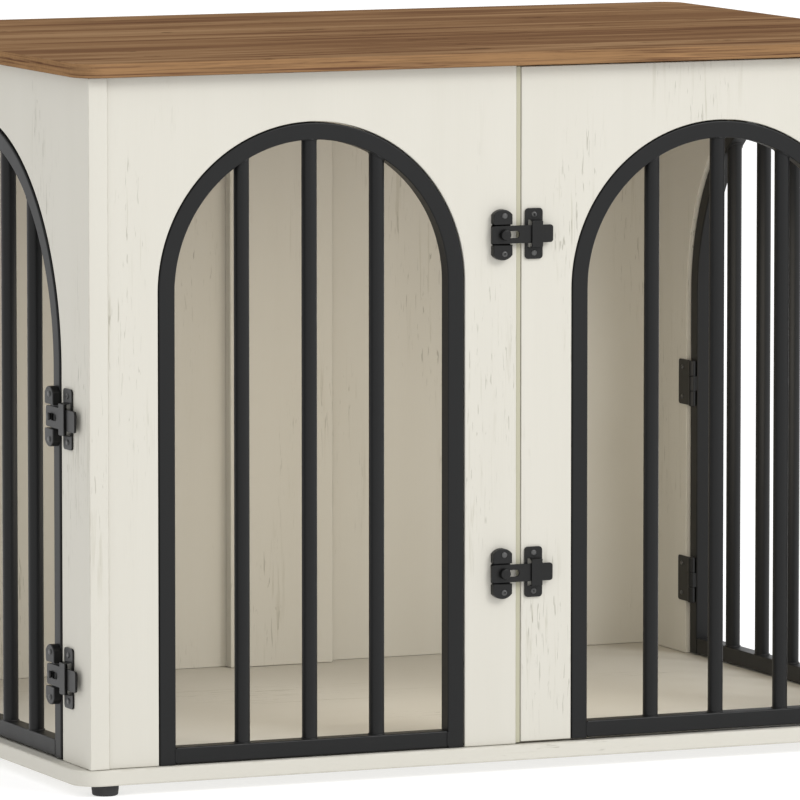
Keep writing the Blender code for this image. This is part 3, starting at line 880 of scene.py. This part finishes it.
def make_side_hinge(side, face, way, level):
    size = sizes()
    sign = -way  # +1 on the right and -1 on the left, so that sign * x grows outwards
    axis = joint_axis(f"side_door_{side}_hinge")
    node, frame_node = f"side_{side}_hinge_{level}_leaf", f"side_{side}_door_frame"
    low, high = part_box(node)
    middle, outer_spans, (bottom, top) = knuckle_spans(low.z, high.z)
    wood_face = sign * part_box(f"side_panel_{side}")[0 if sign > 0 else 1].x - PLAY
    leaf_face = wood_face - size.leaf_thickness
    leaf_x = sorted((sign * wood_face, sign * leaf_face))

    shape = new_shape()
    leaf_edge = axis.y + size.barrel_radius + PLAY
    add_leaf(shape, (leaf_x[0], leaf_edge, low.z), (leaf_x[1], high.y, high.z), face)
    for near, far in outer_spans:
        add_knuckle(shape, axis, near, far)
        add_box(
            shape, (leaf_x[0] + WEB_INSET, axis.y, near + PLAY),
            (leaf_x[1] - WEB_INSET, axis.y + 6 * MM, far - PLAY),
        )
    add_pin_heads(shape, axis, low.z, high.z)
    replace_node(node, shape, "black_hardware")

    shape = new_shape()
    add_knuckle(shape, axis, bottom, top)
    tube_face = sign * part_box(frame_node)[1 if sign > 0 else 0].x - size.tube_depth
    tab_x = sorted((axis.x, sign * (tube_face + 0.6 * MM)))
    tab_half = 2.6 * MM
    add_box(
        shape, (tab_x[0], axis.y - tab_half, bottom + PLAY),
        (tab_x[1], axis.y + tab_half, top - PLAY),
    )
    finish_piece(
        f"side_{side}_hinge_{level}_knuckle", shape, "black_hardware", f"side_door_{side}",
        slot_of(frame_node),
    )
    inwards = LEFT if sign > 0 else RIGHT  # the way that the leaf's inner side faces
    turned = inwards.inverted()
    screw_y = (axis.y + 5 * MM + high.y) / 2 + 3 * MM
    spots = [
        turned @ Vector((sign * leaf_face, screw_y, middle + step * HINGE_SCREW_V))
        for step in (-1, 1)
    ]
    add_screws(node, spots, HINGE_SCREW_RADIUS, inwards)


# Latches


def latch_place(face, spot, way):
    """Puts a latch's part, drawn about its own middle or end, in its place on the face."""
    return face @ Matrix.Translation(spot) @ Matrix.Diagonal((way, 1, 1, 1))


def make_receiver(node, face, way, latch):
    """A pressed plate with two raised lobes. The bolt's end lies in the channel between them."""
    low, high = face_box(node, face)
    centre = (low + high) / 2
    half_u, half_v = (high.x - low.x) / 2, (high.y - low.y) / 2
    bulge = half_v * 0.21  # of the two rounded ends
    radius = (half_u**2 + bulge**2) / (2 * bulge)
    spread = math.degrees(math.asin(half_u / radius))
    channel = half_v * 0.40  # half its width
    notch = half_u * 0.14
    outline = arc((0, half_v - radius), radius, 90 - spread, 90 + spread, 24)
    for level in (channel, -channel):
        outline += [(-half_u, level + notch), (notch - half_u, level), (-half_u, level - notch)]
    outline += arc((0, radius - half_v), radius, 270 - spread, 270 + spread, 24)
    shape = new_shape()
    floor = 1.0 * MM
    tops = add_plate(shape, [outline], 0, floor)
    for level in (channel, -channel):
        edges = {e for f in tops for e in f.edges}
        verts = {v for f in tops for v in f.verts}
        bmesh.ops.bisect_plane(
            shape, geom=tops + list(edges) + list(verts), plane_co=(0, level, 0),
            plane_no=(0, 1, 0),
        )
        tops = [f for f in shape.faces if f.calc_center_median().z > floor * 0.99]
    lobes = [f for f in tops if abs(f.calc_center_median().y) > channel]
    depth = high.z - low.z + latch["lift"]
    raised = bmesh.ops.extrude_face_region(shape, geom=lobes)["geom"]
    bmesh.ops.translate(shape, verts=verts_in(raised), vec=(0, 0, depth - floor))
    crowns = set(faces_in(raised))
    rims = {e for f in crowns for e in f.edges if len(set(e.link_faces) & crowns) == 1}
    soften(shape, 1.1 * MM, 4, list(rims))
    place = latch_place(face, (centre.x, centre.y, low.z), way)
    replace_node(node, shape, "black_hardware", place)
    screw_u, screw_v = centre.x + way * 1.2 * MM, half_v * 0.75
    spots = [(screw_u, centre.y + step * screw_v, low.z + depth) for step in (-1, 1)]
    add_screws(node, spots, sizes().screw_radius, face)


def make_bolt(node, face, way, latch):
    """The sliding bolt: rounded corners, a long hole beside the knob, and a low round knob."""
    low, high = face_box(node, face)
    start = low.x if way > 0 else high.x
    along = high.x - low.x - latch["trim"]
    half = (high.y - low.y) / 2
    thick = 2.0 * MM
    knob_u, knob_radius = latch["knob_u"], latch["knob_radius"]
    neck, top = knob_radius * 0.86, thick + latch["knob_height"]
    slot_start, slot_half = knob_u + 3.4 * MM, 3.0 * MM

    shape = new_shape()
    outline = rounded_loop((0, -half), (along, half), SHEET_CORNER, 8)
    hole = [(slot_start, slot_half), (slot_start, -slot_half)]
    hole += arc((latch["slot_end"] - slot_half, 0), slot_half, -90, 90, 16)
    add_plate(shape, [outline, hole[::-1]], 0, thick)
    soften(shape, SHEET_EDGE, 2)
    knob = new_shape()
    turn(knob, [
        (0, thick * 0.5), (neck, thick * 0.5), (neck, thick + 0.7 * MM),
        (knob_radius, thick + 1.3 * MM), (knob_radius, top - 0.9 * MM),
        (knob_radius - 0.3 * MM, top - 0.35 * MM), (knob_radius - 0.9 * MM, top), (0, top),
    ], 48)
    bmesh.ops.translate(knob, verts=knob.verts, vec=(knob_u, 0, 0))
    merge_shape(shape, knob)
    place = latch_place(face, (start, (low.y + high.y) / 2, low.z + latch["lift"]), way)
    replace_node(node, shape, "black_hardware", place)


def make_bracket(node, face, way, latch):
    """A screwed plate with a strap pressed up out of its window, for the bolt to slide through."""
    low, high = face_box(node, face)
    centre = (low + high) / 2
    half_u, half_v = (high.x - low.x) / 2, (high.y - low.y) / 2
    scale = half_v / (21.5 * MM)  # the measures that it multiplies are a 43 mm bracket's
    thick = 1.5 * MM
    strap_u, strap_half = 1.2 * MM, 4.95 * MM * scale
    window_v = 11.8 * MM * scale
    window_gap = 1.7 * MM  # beside the strap, where the bolt is seen

    shape = new_shape()
    outline = rounded_loop((-half_u, -half_v), (half_u, half_v), 3 * MM, 8)
    window = rounded_loop(
        (strap_u - strap_half - window_gap, -window_v), (strap_u + strap_half, window_v),
        0.5 * MM, 3,
    )
    add_plate(shape, [outline, window[::-1]], 0, thick)
    soften(shape, SHEET_EDGE, 2)
    roof = high.z - low.z + latch["lift"]
    under, over = roof - thick, roof - 0.05 * MM
    rise_v = window_v - 1.3 * MM
    over_v = rise_v + 0.5 * MM
    profile = [
        (-window_v, thick * 0.25), (-rise_v, under), (rise_v, under), (window_v, thick * 0.25),
        (window_v, thick), (over_v, over), (-over_v, over), (-window_v, thick),
    ]
    strap = new_shape()
    end = strap.faces.new([strap.verts.new((strap_u - strap_half, v, w)) for v, w in profile])
    thicken(strap, [end], (2 * strap_half, 0, 0))
    soften(strap, 0.4 * MM, 3)
    merge_shape(shape, strap)
    place = latch_place(face, (centre.x, centre.y, low.z), way)
    replace_node(node, shape, "black_hardware", place)
    screw_v = 16.3 * MM * scale
    spots = [(centre.x, centre.y + step * screw_v, low.z + thick) for step in (-1, 1)]
    add_screws(node, spots, sizes().screw_radius, face)


def make_latches(prefix, face, way, latch):
    for level in LEVELS:
        stem = f"{prefix}_{level}"
        make_receiver(f"{stem}_receiver", face, way, latch)
        make_bolt(f"{stem}_bolt", face, way, latch)
        make_bracket(f"{stem}_bracket", face, way, latch)


def make_foot(node):
    low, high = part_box(node)
    radius = (high.x - low.x) / 2
    sole, bend = radius * 0.79, 1.9 * MM
    top = high.z + 0.28 * MM  # nearly up to the base slab
    profile = [
        (0, top), (radius - 0.5 * MM, top), (radius, top - 0.4 * MM),
        (radius - 0.2 * MM, 5 * MM), (radius - 0.5 * MM, 3 * MM),
    ]
    for angle in map(math.radians, (15, 35, 55, 75)):
        profile.append((sole + bend * math.cos(angle), bend * (1 - math.sin(angle))))
    profile += [(sole, 0), (0, 0)]
    shape = new_shape()
    turn(shape, profile)
    centre = (low + high) / 2
    replace_node(node, shape, "black_rubber", Matrix.Translation((centre.x, centre.y, 0)))


# Operators


class DOGCRATE_OT_boards(bpy.types.Operator):
    """Make the slabs, panels, back and batten"""

    bl_idname = "dog_crate.boards"
    bl_label = "Boards"

    def execute(self, context):
        size = sizes()
        make_slab("top_slab", "walnut_laminate", True)
        make_slab("base_slab", "cream_lengthways", False)
        for side, face, _ in SIDES:
            make_doorway_board(
                f"side_panel_{side}", face, f"side_{side}_door_frame", size.side_clearance,
                f"cream_side_{side}",
            )
        for node, grille, finish in (
            ("front_panel_left", "front_grille_frame", "cream_front"),
            ("front_door_panel", "front_door_grille_frame", "cream_door"),
        ):
            make_doorway_board(node, FRONT, grille, size.front_clearance, finish)
        make_seam_strip()
        make_plain_board("back_panel_left", "cream_back", THIN_BOARD_EDGE)
        make_plain_board("back_panel_right", "cream_back_right", THIN_BOARD_EDGE)
        make_plain_board("back_batten", "cream_batten", size.board_edge)
        return {"FINISHED"}


class DOGCRATE_OT_grilles(bpy.types.Operator):
    """Make the welded tube grilles"""

    bl_idname = "dog_crate.grilles"
    bl_label = "Grilles"

    def execute(self, context):
        for frame_node, bar in (
            ("front_grille_frame", "front_grille_bar"),
            ("front_door_grille_frame", "front_door_bar"),
        ):
            make_grille(frame_node, [f"{bar}_{n}" for n in (1, 2, 3)], FRONT)
        for side, face, _ in SIDES:
            bars = [f"side_{side}_door_bar_{n}" for n in range(1, 6)]
            make_grille(f"side_{side}_door_frame", bars, face)
        return {"FINISHED"}


class DOGCRATE_OT_hinges(bpy.types.Operator):
    """Make the hinges and their screws"""

    bl_idname = "dog_crate.hinges"
    bl_label = "Hinges"

    def execute(self, context):
        for level in LEVELS:
            make_front_hinge(level)
            for side, face, way in SIDES:
                make_side_hinge(side, face, way, level)
        return {"FINISHED"}


class DOGCRATE_OT_latches(bpy.types.Operator):
    """Make the slide latches and their screws"""

    bl_idname = "dog_crate.latches"
    bl_label = "Latches"

    def execute(self, context):
        make_latches("front_latch", FRONT, 1, FRONT_LATCH)
        for side, face, way in SIDES:
            make_latches(f"side_{side}_latch", face, way, SIDE_LATCH)
        return {"FINISHED"}


class DOGCRATE_OT_feet(bpy.types.Operator):
    """Make the four feet"""

    bl_idname = "dog_crate.feet"
    bl_label = "Feet"

    def execute(self, context):
        for place in ("front_left", "front_right", "back_left", "back_right"):
            make_foot(f"foot_{place}")
        return {"FINISHED"}


class DOGCRATE_OT_stage(bpy.types.Operator):
    """Make the floor, the lights and the camera"""

    bl_idname = "dog_crate.stage"
    bl_label = "Stage"

    def execute(self, context):
        stage = context.scene.dog_crate.stage
        make_floor(stage)
        make_sky(stage)
        add_softbox("key_light", KEY_PLACE, KEY_TARGET, KEY_SIZE, stage.key, WHITE)
        fill = add_softbox("cabin_fill", FILL_PLACE, FILL_TARGET, FILL_SIZE, stage.fill, WARM)
        fill.visible_camera = False  # it stands in the cabin
        make_camera(stage)
        context.scene.view_settings.view_transform = "Standard"
        return {"FINISHED"}


def make_floor(stage):
    shape = bmesh.new()
    bmesh.ops.create_grid(shape, x_segments=8, y_segments=8, size=FLOOR_HALF)
    mesh = bpy.data.meshes.new("floor")
    shape.to_mesh(mesh)
    shape.free()
    finish = Finish("studio_floor")
    soft = finish.noise((0.6, 0.6, 0.6), 2)
    finish.set(Base_Color=finish.shade(opaque(stage.floor), 0.99 + soft * 0.01), Roughness=0.9)
    finish.set(Emission_Color=opaque(WHITE), Emission_Strength=0.6)
    mesh.materials.append(finish.material)
    floor = bpy.data.objects.new("floor", mesh)
    bpy.context.scene.collection.objects.link(floor)


def make_sky(stage):
    world = bpy.data.worlds.new("studio")
    world.use_nodes = True
    background = world.node_tree.nodes["Background"]
    background.inputs["Color"].default_value = opaque(WHITE)
    background.inputs["Strength"].default_value = stage.sky
    bpy.context.scene.world = world


def add_softbox(name, place, target, size, power, rgb):
    light = bpy.data.lights.new(name, "AREA")
    light.shape = "RECTANGLE"
    light.size, light.size_y = size
    light.energy = power
    light.color = rgb
    lamp = bpy.data.objects.new(name, light)
    lamp.location = place
    aim = Vector(target) - Vector(place)
    lamp.rotation_euler = aim.to_track_quat("-Z", "Y").to_euler()
    bpy.context.scene.collection.objects.link(lamp)
    return lamp


def make_camera(stage):
    lens = bpy.data.cameras.new("camera")
    lens.lens = stage.lens
    lens.sensor_width = 36
    lens.clip_end = 200
    camera = bpy.data.objects.new("camera", lens)
    camera.location = stage.camera_place
    camera.rotation_euler = stage.camera_turn
    bpy.context.scene.collection.objects.link(camera)
    bpy.context.scene.camera = camera


OPERATORS = (
    DOGCRATE_OT_boards, DOGCRATE_OT_grilles, DOGCRATE_OT_hinges, DOGCRATE_OT_latches,
    DOGCRATE_OT_feet, DOGCRATE_OT_stage,
)


class DOGCRATE_PT_panel(bpy.types.Panel):
    """Lists the crate's steps and settings"""

    bl_idname = "DOGCRATE_PT_panel"
    bl_label = "Dog Crate"
    bl_space_type = "VIEW_3D"
    bl_region_type = "UI"
    bl_category = "Dog Crate"

    def draw(self, context):
        settings = context.scene.dog_crate
        for operator in OPERATORS:
            self.layout.operator(operator.bl_idname)
        for group in (settings.sizes, settings.colours, settings.stage):
            box = self.layout.box()
            for name in group.__annotations__:
                box.prop(group, name)


GROUPS = (CrateSizes, CrateColours, CrateStage, CrateSettings)


def register():
    for made in GROUPS + OPERATORS + (DOGCRATE_PT_panel,):
        bpy.utils.register_class(made)
    bpy.types.Scene.dog_crate = PointerProperty(type=CrateSettings)


def unregister():
    del bpy.types.Scene.dog_crate
    for made in reversed(GROUPS + OPERATORS + (DOGCRATE_PT_panel,)):
        bpy.utils.unregister_class(made)


def clear_startup_scene():
    keep = set(frame["nodes"].values()) | set(frame["bodies"].values())
    for old in [o for o in bpy.data.objects if o not in keep]:
        bpy.data.objects.remove(old, do_unlink=True)


def main():
    register()
    clear_startup_scene()
    bpy.context.scene.collection.children.link(bpy.data.collections.new("dog_crate"))
    bpy.ops.dog_crate.boards()
    bpy.ops.dog_crate.grilles()
    bpy.ops.dog_crate.hinges()
    bpy.ops.dog_crate.latches()
    bpy.ops.dog_crate.feet()
    bpy.ops.dog_crate.stage()
    bpy.context.view_layer.update()


if __name__ == "__main__":
    main()
